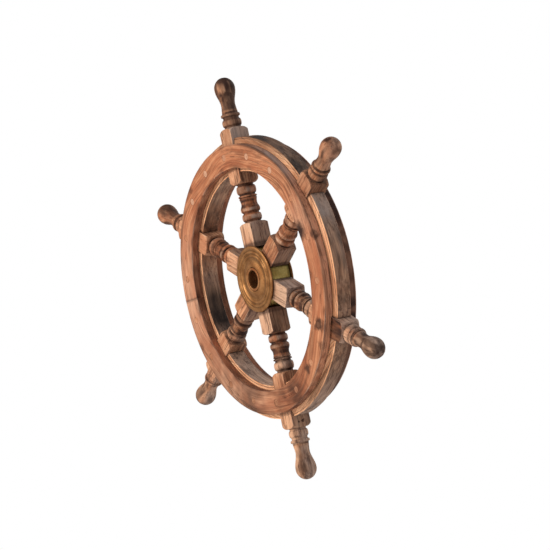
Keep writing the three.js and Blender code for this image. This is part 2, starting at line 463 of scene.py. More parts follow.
def wood(name, pale, tan, rust, umber, grey, streaks, blotches, weather, knots=()):
    """Weathered hardwood. The grain attribute runs along its x.

    The stain attribute darkens, for dirt and for painted shade in recesses and where parts meet; tone
    bleaches, also as painted highlights on worn edges; and varnish keeps the wood deep red-brown.
    """
    material = bpy.data.materials.new(name)
    g = Graph(material)
    figure = wood_figure(g, g.attribute("grain", "Vector"))
    stain, tone, varnish = [g.attribute(mark, "Fac") for mark in ("stain", "tone", "varnish")]
    dark = tuple(0.4 * c for c in umber)
    bleached = tuple(0.55 * a + 0.45 * b for a, b in zip(pale, BLEACHED_WOOD))

    colour = g.layers(
        tan,
        (pale, g.ramp(figure.weave, 0.42, 0.58), 1.0),
        (rust, g.ramp(figure.swirl, -0.2, 0.95), 0.4),
        (rust, g.ramp(figure.patch, 0.45, 0.66), 0.65),
        (rust, varnish, g.ramp(figure.fibre, 0.7, 0.4, 0.5, 1.0)),
        (bleached, tone, g.ramp(figure.patch, 0.7, 0.35, 0.45, 1.0)),
        (umber, g.ramp(figure.fine, 0.5, 0.75), 0.25),
        (umber, figure.streak, streaks),
        (umber, figure.line, 0.35 + 0.5 * streaks),
        (umber, figure.fleck, 0.8 * streaks))
    colour = weather_sides(g, colour, figure, tone, varnish, grey, umber, bleached, weather)

    # recesses and joins are dark from old varnish and dirt, and from painted shade
    depth = g.math("MULTIPLY", stain, g.ramp(figure.patch, 0.2, 0.7, 0.7, 1.1), clamp=True)
    colour = g.layers(colour, (dark, depth, 1.0), (umber, figure.blotch, blotches), (dark, figure.crack, 0.8))
    colour = darken_knots(g, colour, dark, knots)

    height = g.plus(g.times(figure.fibre, 0.6), g.times(figure.fine, 0.25))
    height = g.minus(height, g.times(figure.crack, 0.9))
    height = g.minus(height, g.times(figure.line, 0.5))
    height = g.plus(height, g.times(figure.patch, 0.8))
    rough = g.ramp(figure.fibre, 0.25, 0.75, 0.8, 0.6)
    g.surface(colour, rough, g.bump(height, 0.6, 0.0008), specular=0.22)
    return material


def on_rim(radius, degrees, y):
    """A point of the rim, in metres, at an angle from +Z towards +X."""
    a = math.radians(degrees)
    return (radius * math.sin(a) / 1000, y / 1000, radius * math.cos(a) / 1000)


# knots and burns on the rim's faces: place, radius in metres, darkness
RING_KNOTS = (
    (on_rim(187, 119.5, -RIM_HALF), 0.014, 0.9),
    (on_rim(180, 122.0, -RIM_HALF), 0.008, 0.6),
    (on_rim(184, 144.5, -RIM_HALF), 0.011, 0.8),
    (on_rim(170, 75.5, -RIM_HALF), 0.021, 1.0),
    (on_rim(201, 81, -RIM_HALF + 2), 0.011, 0.8),
    (on_rim(198, 128, -RIM_HALF), 0.009, 0.5),
    (on_rim(170, 97, -RIM_HALF), 0.009, 0.45),
    (on_rim(199, -112, -RIM_HALF), 0.011, 0.5),
    (on_rim(198, -36, -RIM_HALF), 0.010, 0.45),
    (on_rim(186, 163, -RIM_HALF), 0.020, 0.35),
    (on_rim(196, 52, RIM_HALF), 0.012, 0.7),
    (on_rim(180, -70, RIM_HALF), 0.011, 0.7),
)
# nail holes on the lower spoke's outer block, in the same way
NAIL_HOLES = (((0.016, -0.004, -0.219), 0.0035, 1.0), ((0.016, 0.004, -0.2185), 0.0035, 1.0))

spoke_wood = wood(
    "spoke_wood", (0.80, 0.42, 0.225), (0.49, 0.215, 0.10), (0.40, 0.13, 0.052), (0.07, 0.022, 0.01),
    (0.235, 0.135, 0.09), streaks=0.6, blotches=0.4, weather=0.7, knots=NAIL_HOLES)
ring_wood = wood(
    "ring_wood", (0.64, 0.28, 0.137), (0.42, 0.146, 0.062), (0.34, 0.098, 0.039), (0.075, 0.023, 0.01),
    (0.62, 0.30, 0.18), streaks=0.33, blotches=0.38, weather=0.68, knots=RING_KNOTS)
felloe_wood = wood(
    "felloe_wood", (1.0, 0.54, 0.30), (0.82, 0.39, 0.195), (0.50, 0.18, 0.075), (0.05, 0.025, 0.016),
    (0.17, 0.113, 0.088), streaks=0.38, blotches=0.08, weather=0.96)
peg_wood = wood(
    "peg_wood", (0.56, 0.25, 0.125), (0.48, 0.195, 0.09), (0.38, 0.13, 0.055), (0.2, 0.07, 0.03),
    (0.4, 0.2, 0.12), streaks=0.2, blotches=0.15, weather=0.3)


def finish_wood(mesh, along, across, through, index, stain, tone=0.0, varnish=0.0, tilt=0.0):
    """Store the grain's coordinates, in metres, and where the wood is darkened (stains and painted shade),
    bleached (wear and painted highlights) or varnished.

    Each index is a different stretch of timber; tilt turns its grain, in radians.
    """
    c, s = math.cos(tilt), math.sin(tilt)
    grain = np.stack([c * along + s * across, c * across - s * along, through], axis=1) * 0.001
    offset = np.array([0.37 * index + 0.11, 0.23 * (index % 7) + 0.05, 0.19 * (index % 5) + 0.02])
    paint(mesh, "grain", grain + offset)
    for name, values in (("stain", stain), ("tone", tone), ("varnish", varnish)):
        paint(mesh, name, np.broadcast_to(values, len(along)))


# ---------------------------------------------------------------- brass
def brass(name, bright, brown, olive, shine):
    """Old turned brass. The grain attribute holds radius, y and the way round, in metres."""
    material = bpy.data.materials.new(name)
    g = Graph(material)
    turned = g.attribute("grain", "Vector")
    where = g.coordinate("Object")
    lines = g.noise(turned, (2600, 900, 9), 3.0, 0.6)
    scratch = g.noise(turned, (700, 700, 60), 2.0, 0.5)
    cloud = g.noise(where, (60, 60, 60), 4.0, 0.6)
    spots = g.noise(where, (420, 420, 420), 3.0, 0.6)
    dark = tuple(0.35 * c for c in olive)
    colour = g.layers(
        bright,
        (brown, g.ramp(cloud, 0.35, 0.65), 1.0),
        (brown, g.ramp(lines, 0.45, 0.7), 0.4),
        (olive, g.ramp(scratch, 0.55, 0.72), 0.35),
        (dark, g.attribute("stain", "Fac"), 0.85),
        (dark, g.ramp(spots, 0.56, 0.7), 0.35))
    rough = g.ramp(cloud, 0.3, 0.7, shine, shine + 0.16)
    height = g.plus(g.times(lines, 0.7), g.times(scratch, 0.3))
    g.surface(colour, rough, g.bump(height, 0.35, 0.0004), metallic=1.0)
    return material


def finish_brass(mesh, stain):
    p = coords(mesh)
    r = from_axle(p)
    way_round = np.arctan2(p[:, 0], p[:, 2]) * 40
    paint(mesh, "grain", np.stack([r, p[:, 1], np.abs(way_round)], axis=1) * 0.001)
    paint(mesh, "stain", stain)


plate_brass = brass("plate_brass", (0.42, 0.202, 0.078), (0.24, 0.103, 0.037), (0.222, 0.12, 0.041), 0.5)
barrel_brass = brass("barrel_brass", (0.66, 0.50, 0.17), (0.42, 0.28, 0.08), (0.30, 0.27, 0.08), 0.34)
sleeve_brass = brass("sleeve_brass", (0.46, 0.22, 0.085), (0.28, 0.10, 0.036), (0.17, 0.07, 0.025), 0.5)


# ---------------------------------------------------------------- spokes
def half_round(start, end, base, peak, count=14, power=2.0):
    """A turned bead from start to end."""
    mid, half = (start + end) / 2, (end - start) / 2
    rows = []
    for t in np.linspace(-1, 1, count):
        s = math.sin(t * math.pi / 2)
        rows.append((mid + half * s, base + (peak - base) * (1 - abs(s) ** power) ** (1 / power)))
    return rows


def smooth_curve(knots, step):
    """Rows of a smooth curve through knots of (distance, radius)."""
    x = np.array([k[0] for k in knots])
    y = np.array([k[1] for k in knots])
    slope = np.gradient(y, x)
    rows = []
    for i in range(len(x) - 1):
        h = x[i + 1] - x[i]
        for t in np.arange(0, 1, step / h):
            a = (1 + 2 * t) * (1 - t) ** 2 * y[i] + t * (1 - t) ** 2 * h * slope[i]
            b = t * t * (3 - 2 * t) * y[i + 1] + t * t * (t - 1) * h * slope[i + 1]
            rows.append((x[i] + h * t, a + b))
    rows.append((x[-1], y[-1]))
    return rows


def shoulder(near, far, low, high, count=18):
    """The turned end of a square block: a quarter round from low at near to high at far."""
    rows = []
    for t in np.linspace(0, math.pi / 2, count):
        rows.append((near + (far - near) * (1 - math.cos(t)), low + (high - low) * math.sin(t)))
    return rows if near < far else rows[::-1]


def spoke_rows():
    """A spoke's turned profile from the hub out, as (distance from the axle, radius)."""
    rows = [(24.5, 7.4), (25.2, 8.0), (45.9, 8.0), (46.1, 15.0), (46.2, BLOCK_TURNED)]
    rows += [(d, BLOCK_TURNED) for d in np.arange(48, 76, 2.0)]
    rows += shoulder(84.2, 76.5, 13.4, BLOCK_TURNED)
    rows += [(84.4, 12.6), (85.2, 12.2), (86.0, 12.4)]
    rows += half_round(86.2, 97.2, 12.5, 14.8)
    rows += [(97.6, 12.1), (98.3, 11.9), (99.0, 12.1)]
    rows += smooth_curve(
        [(99.3, 12.6), (100.4, 13.9), (102.4, 14.6), (104.6, 14.7), (107.4, 13.8), (110.2, 12.6),
         (113, 12.2), (116, 12.4), (118.4, 12.9), (120.3, 13.5)], 0.6)
    rows += [(120.9, 13.3), (121.2, 12.1), (121.5, 12.1)]
    rows += half_round(121.8, 124.8, 12.6, 14.1, 9, 2.6)
    rows += [(125.1, 12.1), (126.0, 12.0), (126.8, 12.3)]
    rows += half_round(127.1, 139.5, 12.5, 15.0)
    rows += [(139.9, 12.2), (141.0, 12.0), (142.0, 12.3)]
    rows += shoulder(142.2, 154.0, 13.4, BLOCK_TURNED)
    for d in (155.5, 157, 160, 164, 170, 180, 190, 200, 204, 207, 210, 212, 214):
        rows.append((d, BLOCK_TURNED))
    rows += shoulder(227.7, 216.0, 13.4, BLOCK_TURNED)
    rows += [(227.9, 12.9), (228.8, 12.4), (229.8, 12.6)]
    rows += half_round(230.1, 240.9, 12.6, 14.7)
    rows += [(241.4, 12.3), (242.8, 12.0), (244.2, 12.3)]
    rows += half_round(244.7, 249.2, 12.9, 14.6, 11, 2.8)
    rows += smooth_curve(
        [(249.6, 12.3), (253, 11.9), (258, 11.2), (263, 10.85), (268, 11.4), (273, 12.7), (278, 14.2),
         (283, 15.4), (BULB_CENTRE, BULB_RADIUS)], 1.0)
    for t in np.linspace(0.06, 0.985, 18):
        a = t * math.pi / 2
        rows.append((BULB_CENTRE + (TIP - BULB_CENTRE) * math.sin(a), BULB_RADIUS * math.cos(a)))
    rows.append((TIP - 0.02, 0.12))
    return rows


SPOKE_ROWS = spoke_rows()
CORNER_STEPS = (0, 1.0, 2.0, 3.2, 4.8, 7, 10, 14, 19, 25, 31.5, 38)


def spoke_columns():
    """Angles round a spoke, close together at the corners of its square blocks."""
    angles = []
    for corner in (45, 135, 225, 315):
        angles += [corner - a for a in CORNER_STEPS[:0:-1]] + [corner + a for a in CORNER_STEPS]
        angles.append(corner + 45)
    return np.radians(sorted(angles))


def square_radius(angles, half, corner):
    """Distance from the middle of a round-cornered square to its edge."""
    fold = np.abs((angles + math.pi / 4) % (math.pi / 2) - math.pi / 4)
    c, s = np.cos(fold), np.sin(fold)
    flat = half / c
    m = half - corner
    inside = np.maximum(m * m * (c + s) ** 2 - 2 * m * m + corner * corner, 0)
    rounded = m * (c + s) + np.sqrt(inside)
    return np.where(flat * s > m, rounded, flat)


def recess_shade(rows):
    """How much painted shade each row of a spoke gets: deep grooves and the edges of thin rings."""
    d = np.array([row[0] for row in rows])
    radius = np.minimum([row[1] for row in rows], BLOCK / 2 - 0.4)
    dark = np.zeros(len(rows))
    for i in range(len(rows)):
        reach = np.abs(d - d[i]) < 4.0
        dark[i] = unit((radius[reach].max() - radius[i]) / 2.3) ** 0.8
    dark[d > 252] *= 0.15  # the handle is smooth
    return dark


SPOKE_RECESS_SHADE = recess_shade(SPOKE_ROWS)

# burnt lines round the turned parts: distance out along the spoke, width, strength
SCORCHED = ((121.3, 0.9, 1.0), (125.1, 1.1, 1.0), (249.7, 1.2, 1.0), (244.3, 1.1, 0.9), (98.3, 1.6, 0.95),
            (141.0, 1.3, 0.9), (228.8, 1.2, 0.8), (85.2, 1.1, 0.8), (110.5, 2.5, 0.45), (136.5, 2.0, 0.4),
            (94.5, 1.5, 0.4), (239.5, 1.6, 0.45))
# how dirty (DIRT), bleached (TONE) or varnished each of the six spokes is; on its blocks, the
# front and then the sides
HUB_DIRT = ((0.0, 0.08), (0.15, 0.2), (0.2, 0.05), (0.0, 0.5), (0.05, 0.1), (0.0, 0.3))
HUB_TONE = ((0.6, 0.5), (0.0, 0.2), (0.9, 0.7), (1.0, 0.0), (0.0, 0.25), (0.35, 0.1))
HUB_FRONT_VARNISH = (0.0, 0.6, 0.0, 0.0, 0.4, 0.0)
RIM_DIRT = ((0.22, 0.0), (0.14, 0.4), (0.85, 0.1), (0.05, 0.2), (0.1, 0.0), (0.0, 0.1))
RIM_TONE = ((0.2, 0.8), (0.25, 0.0), (0.0, 0.7), (0.35, 0.2), (0.3, 0.3), (0.2, 0.2))
RIM_VARNISH = ((0.3, 0.0), (0.45, 0.5), (0.9, 0.0), (0.0, 0.1), (0.15, 0.5), (0.55, 0.5))
TURNED_DIRT = (0.5, 0.25, 0.95, 1.15, 1.1, 0.6)
TURNED_OUTER_DIRT = (0.5, 0.25, 0.45, 0.2, 0.6, 0.6)
TURNED_OUTER_TONE = (0.1, 0.1, 0.5, 0.65, 0.35, 0.1)
TURNED_VARNISH = (1.2, 1.2, 0.6, 0.9, 0.7, 1.1)
BEAD_DIRT = (1.0, 0.4, 0.14, 0.15, 0.1, 0.5)
BEAD_TONE = (0.15, 0.1, 0.65, 0.55, 0.55, 0.1)
BEAD_VARNISH = (0.4, 0.5, 0.0, 0.0, 0.1, 0.75)
HANDLE_DIRT = (0.98, 0.34, 0.78, 0.18, 0.42, 0.85)
HANDLE_TONE = (0.2, 0.25, 0.75, 0.55, 0.6, 0.1)
HANDLE_VARNISH = (0.15, 0.7, 0.0, 0.0, 0.3, 0.9)
PALE_BEADS = (2, 3, 4)  # spokes whose outer beads are pale, by index
# dark patches on the handles: spoke's index, distance out along the spoke, width, strength
HANDLE_BURNS = ((0, 276, 7, 0.95), (2, 275, 6, 0.95), (2, 303, 6, 0.7), (5, 262, 6, 0.65), (4, 297, 8, 0.8))

# how far out along a spoke its parts begin and end, and where the plates and the rings cover it
HUB_BLOCK_FROM, HUB_BLOCK_TO = 45, 83
TURNED_FROM, TURNED_MIDDLE, TURNED_TO = 86, 117, 141
RIM_BLOCK_FROM, RIM_BLOCK_TO = 142, 228
BEADS_FROM, BEADS_TO = 229, 249
HANDLE_FROM = 250
PLATES_FROM, PLATES_TO = 40, 52
RINGS_FROM, RINGS_TO = 166, 202
CREST = 13.9  # the turned rings stand out from this radius


def spoke_base():
    angles = spoke_columns()
    square = square_radius(angles, BLOCK / 2 - 0.05, 1.1)
    grid = np.zeros((len(SPOKE_ROWS), len(angles), 3))
    for i, (d, r) in enumerate(SPOKE_ROWS):
        radius = np.minimum(r, square)
        grid[i, :, 0] = radius * np.sin(angles)
        grid[i, :, 1] = radius * np.cos(angles)
        grid[i, :, 2] = d
    drill = cylinder_mesh("drill", PEG_RADIUS + 0.2, 50, 32, Matrix.Translation((0, 0, PEG_CIRCLE)))
    return cut(grid_solid("spoke", grid, "fan"), [drill])


def facing_front(p):
    return rising(-p[:, 1], BLOCK / 2 - 1, 0.6)


def front_or_side(p, front_amount, side_amount):
    front = facing_front(p)
    return front * front_amount + (1 - front) * side_amount


def outer_half(d):
    """1 on the outer half of the spoke's turned part, 0 on the inner half."""
    return rising(d, TURNED_MIDDLE, 8)


def spoke_stain_and_shade(p, k):
    d = p[:, 2]
    # painted shade in the deep grooves and at the edges of the thin turned rings, from their depth
    stain = np.interp(d, [row[0] for row in SPOKE_ROWS], SPOKE_RECESS_SHADE)
    stain = most(stain, *[strength * bell(d, centre, width) for centre, width, strength in SCORCHED])
    stain = unit(stain * (0.85 + 0.4 * noise_at(p, 7.0, 50 + k)))
    beads = within(d, BEADS_FROM, BEADS_TO, 2)
    stain = stain * (1 - beads * (0.9 - BEAD_DIRT[k]) * (k in PALE_BEADS))
    # burnt bands round the turned parts, worn through on the crests, which are kept light also as a painted
    # highlight
    crest = rising(np.hypot(p[:, 0], p[:, 1]), CREST, 0.6)
    bands = 0.9 * noise_at(p * [0.5, 0.5, 1.7], 6.0, 70 + k) + 0.35 * noise_at(p * [1, 1, 0.3], 3.5, 170 + k)
    dirt = TURNED_DIRT[k] + (TURNED_OUTER_DIRT[k] - TURNED_DIRT[k]) * outer_half(d)
    turned = within(d, TURNED_FROM, TURNED_TO, 2) * unit(dirt + bands) * (1 - 0.4 * crest)
    beads = beads * unit(BEAD_DIRT[k] + 0.7 * bands) * (1 - 0.3 * crest)
    # handles are darkened by hands, in streaks along the grain
    smudge = 0.8 * noise_at(p * [1, 1, 0.16], 4.5, 90 + k) + 0.7 * noise_at(p * [1, 1, 0.5], 11.0, 190 + k)
    handle = rising(d, HANDLE_FROM, 6) * np.clip(HANDLE_DIRT[k] + smudge, 0.08, 1) * 0.93
    burns = [uneven(strength * bell(d, centre, width), p * [1, 1, 0.6], 0.9, 6.0, 310 + k)
             for spoke, centre, width, strength in HANDLE_BURNS if spoke == k]
    # dirt and painted shade where the plates and the rings cover and meet the blocks, and dirt on the blocks
    # themselves
    covered_dirt_and_shade = most(within(d, PLATES_FROM, PLATES_TO, 3.5) * 0.7, within(d, RINGS_FROM, RINGS_TO, 1.5) * 0.6)
    hub = within(d, HUB_BLOCK_FROM, HUB_BLOCK_TO, 3) * front_or_side(p, *HUB_DIRT[k])
    rim = within(d, RINGS_TO - 2, RIM_BLOCK_TO, 2) * front_or_side(p, *RIM_DIRT[k])
    blocks = uneven(most(hub, rim), p * [1, 1, 0.2], 0.5, 5.0, 210 + k)
    return unit(most(stain, most(turned, beads) * 0.95, handle, covered_dirt_and_shade, blocks, *burns))


def spoke_tone(p, k):
    d = p[:, 2]
    hub = within(d, PLATES_FROM, HUB_BLOCK_TO + 1, 4) * front_or_side(p, *HUB_TONE[k])
    rim = within(d, RINGS_TO - 2, RIM_BLOCK_TO, 2) * front_or_side(p, *RIM_TONE[k])
    rim_inside = within(d, RIM_BLOCK_FROM, RINGS_FROM, 2) * facing_front(p) * 0.2
    turned = within(d, TURNED_MIDDLE - 2, TURNED_TO, 2) * outer_half(d) * TURNED_OUTER_TONE[k]
    beads = within(d, BEADS_FROM, BEADS_TO + 1, 2) * BEAD_TONE[k]
    handle = rising(d, HANDLE_FROM + 1, 6) * HANDLE_TONE[k]
    tone = uneven(most(hub, rim, rim_inside, turned, beads, handle), p, 0.35, 9.0, 230 + k)
    # worn corners of the blocks and worn crests of the turned rings, paler also as painted highlights on these
    # edges
    corner = rising(np.minimum(np.abs(p[:, 0]), np.abs(p[:, 1])), BLOCK / 2 - 1.7, 0.8)
    corner = corner * unit(0.55 + 0.6 * noise_at(p, 8.0, 250 + k))
    crest = rising(np.hypot(p[:, 0], p[:, 1]), CREST, 0.5) * within(d, TURNED_FROM, TURNED_TO, 1)
    crest = crest * unit(0.4 + 0.8 * noise_at(p, 6.0, 270 + k))
    return unit(most(tone, corner, crest))


def spoke_varnish(p, k):
    d = p[:, 2]
    lumps = noise_at(p, 9.0, 290 + k)
    worn_off = 1 - outer_half(d) * TURNED_OUTER_TONE[k] * 1.3
    turned = within(d, TURNED_FROM - 1, TURNED_TO + 1, 2) * (TURNED_VARNISH[k] + 0.4 * lumps) * worn_off
    beads = within(d, BEADS_FROM - 1, BEADS_TO + 1, 2) * (BEAD_VARNISH[k] + 0.3 * lumps)
    handle = rising(d, HANDLE_FROM, 8) * (HANDLE_VARNISH[k] + 0.4 * lumps)
    rim = within(d, RINGS_TO - 2, RIM_BLOCK_TO - 1, 3)
    rim = rim * front_or_side(p, *RIM_VARNISH[k]) * (1 + 0.4 * lumps)
    hub = within(d, HUB_BLOCK_FROM - 3, HUB_BLOCK_TO - 1, 3) * facing_front(p) * HUB_FRONT_VARNISH[k]
    rim_inside = within(d, RIM_BLOCK_FROM, RINGS_FROM - 1, 3) * 0.35
    return unit(most(turned, beads, handle, rim, most(hub, rim_inside) * (1 + 0.5 * lumps)))


spoke_mesh = spoke_base()
for k in range(SPOKES):
    mesh = spoke_mesh.copy()
    wear(mesh, depth=0.35, size=9.0, seed=20 + k)
    p = coords(mesh)
    finish_wood(mesh, p[:, 2], p[:, 0], p[:, 1], k, spoke_stain_and_shade(p, k), spoke_tone(p, k), spoke_varnish(p, k),
                tilt=0.05 * math.sin(k * 2.1))
    piece(f"turned_spoke_{k + 1}", mesh, spoke_wood, f"spoke_{k + 1}", WHEEL,
          Matrix.Rotation(k * PITCH, 4, "Y"), sharp=40)


# ---------------------------------------------------------------- rim
LONG_GRAIN = 0.6  # the rim's timber has a longer figure than the spokes'
NOTCH_HALF = BLOCK / 2 + GAP
RING_EASE = 0.8
RING_STEPS = 60
RING_HALF_ANGLE = PITCH / 2 - 0.04 / RING_INNER  # the segments butt almost without a gap
FELLOE_STEPS = 54


def rounded_corner(r, y, cr, cy, size, steps=4):
    """Points of a rounded corner at (r, y), whose centre lies towards (cr, cy)."""
    points = []
    for t in np.linspace(0, 1, steps):
        a = t * math.pi / 2
        points.append((r + cr * size * (1 - math.sin(a)), y + cy * size * (1 - math.cos(a))))
    return points


def ring_section():
    """The front ring's section as (radius, y), seen along the rim, with eased front edges."""
    near, far = -RIM_HALF, -(FELLOE_HALF + GAP)
    section = rounded_corner(RING_OUTER, near, -1, 1, RING_EASE)[::-1]
    section += [(RING_OUTER - step, near) for step in (1.9, 3.2, 6, 12, 18)]
    section += [(RING_INNER + step, near) for step in (12, 6, 2.6)]
    section += rounded_corner(RING_INNER, near, 1, 1, RING_EASE * 1.3)
    section += [(RING_INNER, y) for y in (-24.6, -22.0, -18.5, -16.2, far - 0.6)]
    section += [(RING_INNER + 0.5, far), (RING_OUTER - 0.5, far)]
    section += [(RING_OUTER, y) for y in (far - 0.6, -16.2, -18.5, -22.0, -25.0)]
    return section


def ring_base():
    rows = []
    for a in np.linspace(-RING_HALF_ANGLE, RING_HALF_ANGLE, RING_STEPS + 1):
        rows.append([(r * math.sin(a), y, r * math.cos(a)) for r, y in ring_section()])
    mesh = grid_solid("ring_segment", np.array(rows), "ngon")
    low = (-NOTCH_HALF, -NOTCH_HALF, RING_INNER - 26.5)
    high = (NOTCH_HALF, 0, RING_OUTER + 28.2)
    notch = box_mesh("notch", low, high)
    return cut(mesh, [notch, peg_holes(PEG_RADIUS + 0.06, 40, (-PEG_STEP, 0, PEG_STEP))])


def place_on_rim(p, turn, mirrored=False):
    """Angle round the wheel, in degrees from +Z towards +X, of points before their piece is turned."""
    x = -p[:, 0] if mirrored else p[:, 0]
    return np.degrees(np.arctan2(x, p[:, 2])) + turn


def from_angle(angle, centre):
    """Degrees from centre round to angle, from -180 to 180."""
    return (angle - centre + 180) % 360 - 180


def marks(angle, table):
    """Sum of soft marks along the rim, each (place, spread, strength), in degrees."""
    return sum(strength * bell(from_angle(angle, centre), 0, spread) for centre, spread, strength in table)


# marks on the rings and then on the felloes, each (place, spread, strength), in degrees
FRONT_BLEACHED = ((-92, 26, 0.75), (200, 22, 0.35), (70, 10, 0.35), (222, 16, 0.4))
FRONT_DARK = ((161, 13, 0.5), (176, 6, 0.2), (48, 5, 0.12), (20, 7, 0.12), (-20, 9, 0.1), (133, 6, 0.15),
              (-158, 13, 0.44), (-136, 14, 0.3), (-118, 9, 0.12))
OUTER_WEATHERED = ((42, 12, 1.0), (30, 12, 0.5))
EDGE_DARK = ((28, 20, 0.85), (60, 12, 0.5), (-30, 12, 0.3), (100, 8, 0.4), (140, 10, 0.4), (-160, 24, 0.7),
             (-110, 14, 0.4))
OUTER_VARNISHED = ((62, 12, 0.3), (105, 20, 0.3), (145, 25, 0.35), (168, 18, 0.75))
FRONT_VARNISHED = ((0, 45, 0.3), (90, 16, 0.3), (160, 18, 0.5), (-35, 14, 0.25))
OUTER_DARK = ((7, 14, 0.85), (152, 8, 0.3), (167, 12, 0.65))
INNER_DARK = ((-48, 20, 0.15), (-18, 10, 0.2), (-84, 12, 0.5), (-102, 14, 0.3), (-145, 14, 0.35),
              (-165, 10, 0.2))
FELLOE_WALL_DARK = ((22, 9, 0.95), (47, 9, 0.9), (33, 7, 0.2), (5, 9, 0.35), (84, 10, 0.3), (104, 9, 0.25),
                    (132, 14, 0.32))
FELLOE_WALL_BLEACHED = ((70, 8, 1.0), (150, 10, 0.2), (166, 9, 0.35), (112, 5, 0.12))
SLOPE_DARK = ((28, 24, 0.45), (-10, 14, 0.35), (152, 14, 0.15))
FELLOE_INNER_DARK = ((-102, 10, 1.0), (-50, 12, 0.6), (-70, 8, 0.3), (-91, 6, 0.6), (-25, 14, 0.45))
FELLOE_INNER_BLEACHED = ((-143, 14, 0.45), (-160, 10, 0.3), (-80, 8, 0.15))
FELLOE_WALL_VARNISHED = ((105, 12, 0.45), (135, 14, 0.35), (20, 14, 0.6))
FELLOE_INNER_VARNISHED = ((-55, 28, 0.9), (-160, 10, 0.3))
JOINT = -90  # the angle of the one joint that shows
JOINT_SEGMENTS = (5, 6)  # the front segments either side of it
GRAIN_START = JOINT - 0.05  # where the rings' grain starts and, once round, ends


def ring_places(p):
    """Distance from the axle; whether each point is on the ring's face, outer wall, inner wall."""
    r = from_axle(p)
    return r, p[:, 1] < -RIM_HALF + 1.0, r > RING_OUTER - 0.8, r < RING_INNER + 0.8


def ring_stain_and_shade(p, angle, front, seed):
    """Painted shade at the foot, where the ring meets the felloe; dark stain on the inner wall and, on the
    back ring, on the outer wall.
    """
    r, face, outer, inner = ring_places(p)
    y = p[:, 1]
    wall = y > -RIM_HALF + 0.9
    inner_dark = 0.22 + 0.3 * noise_at(p, 14.0, seed) + marks(angle, INNER_DARK)
    outer_dark = 0.25 * noise_at(p, 11.0, seed + 3) + marks(angle, OUTER_DARK) + (0 if front else 0.9)
    dark = np.where(inner & wall, inner_dark, 0)
    dark = np.where(outer & wall, outer_dark, dark)
    dark = np.where(face, uneven(marks(angle, FRONT_DARK), p, 0.6, 9.0, seed + 5), dark)
    if front:
        edge_line = (r > RING_OUTER - 1.95) & (y < -RIM_HALF + 2.1)
        dark = np.where(edge_line, most(dark, marks(angle, EDGE_DARK)), dark)
        dark = np.where(outer & wall, most(dark, 0.12 * marks(angle, OUTER_WEATHERED)), dark)
    from_edge = np.minimum(np.abs(r - RING_OUTER), np.abs(r - RING_INNER))
    grime = unit(1 - from_edge / 8) * unit(0.1 + 1.1 * noise_at(p, 13.0, seed + 6)) * 0.75
    # painted shade on the ring's walls near the felloe, where the ring meets it
    foot_shade = unit((y + FELLOE_HALF + 2.6) / 2.2) * 0.7
    return unit(most(foot_shade, dark, np.where(face, grime, 0)))


def ring_tone(p, angle, front, seed):
    r, face, outer, _ = ring_places(p)
    tone = np.where(face, marks(angle, FRONT_BLEACHED), 0)
    tone = np.where(outer & ~face, 0.9 * marks(angle, OUTER_WEATHERED) if front else 0.2, tone)
    tone = uneven(tone, p, 0.5, 14.0, seed + 8)
    # the face's two edges are worn pale in places
    edge = (p[:, 1] < -RIM_HALF + 1.3) & ((r > RING_OUTER - 1.3) | (r < RING_INNER + 1.3))
    worn = unit(0.3 + 1.1 * noise_at(p, 16.0, seed + 11)) * 0.9 * (1 - unit(marks(angle, EDGE_DARK)))
    return unit(np.where(edge, most(tone, worn), tone))


def ring_varnish(p, angle, seed):
    _, face, outer, inner = ring_places(p)
    walls = marks(angle, OUTER_VARNISHED) * outer + 0.6 * inner
    return unit(uneven(np.where(face, marks(angle, FRONT_VARNISHED), walls), p, 0.6, 12.0, seed + 9))


def joint_dirt(angle):
    away = np.abs(from_angle(angle, JOINT)) * math.radians(1) * PEG_CIRCLE
    return unit(1.2 - away / 0.8) * 0.6


def worn_ring_segment(seed):
    """A ring segment, worn everywhere except that its ends still butt against the next ones."""
    mesh = ring_mesh.copy()
    local = np.arctan2(*coords(mesh)[:, (0, 2)].T)
    ends = np.abs(local) > RING_HALF_ANGLE - 1e-4
    wear(mesh, depth=0.3, size=17.0, seed=seed)
    p = coords(mesh)
    r = from_axle(p)
    p[ends, 0] = (r * np.sin(local))[ends]
    p[ends, 2] = (r * np.cos(local))[ends]
    set_coords(mesh, p)
    return mesh


def add_ring_segment(side, flip, timber, k):
    front = side == "front"
    mesh = worn_ring_segment(timber * 7 + k)
    p = coords(mesh)
    angle = place_on_rim(p, 60 * k, not front)
    stain = ring_stain_and_shade(p, angle, front, timber + k)
    if front and k + 1 in JOINT_SEGMENTS:
        stain = most(stain, joint_dirt(angle))
    # the grain follows the rim and runs on from one segment to the next, with a slow wander
    way_round = np.radians((angle - GRAIN_START) % 360)
    across = from_axle(p) + 7 * np.sin(3 * way_round + timber) + 4 * np.sin(7 * way_round)
    finish_wood(mesh, way_round * PEG_CIRCLE * LONG_GRAIN, across, p[:, 1], timber, stain,
                ring_tone(p, angle, front, timber + k), ring_varnish(p, angle, timber + k))
    piece(f"rim_{side}_{k + 1}", mesh, ring_wood, f"{side}_ring_{k + 1}", WHEEL,
          Matrix.Rotation(k * PITCH, 4, "Y") @ flip)


ring_mesh = ring_base()
for k in range(SPOKES):
    add_ring_segment("front", Matrix.Identity(4), 10, k)
for k in range(SPOKES):
    add_ring_segment("back", Matrix.Rotation(math.pi, 4, "Z"), 20, k)


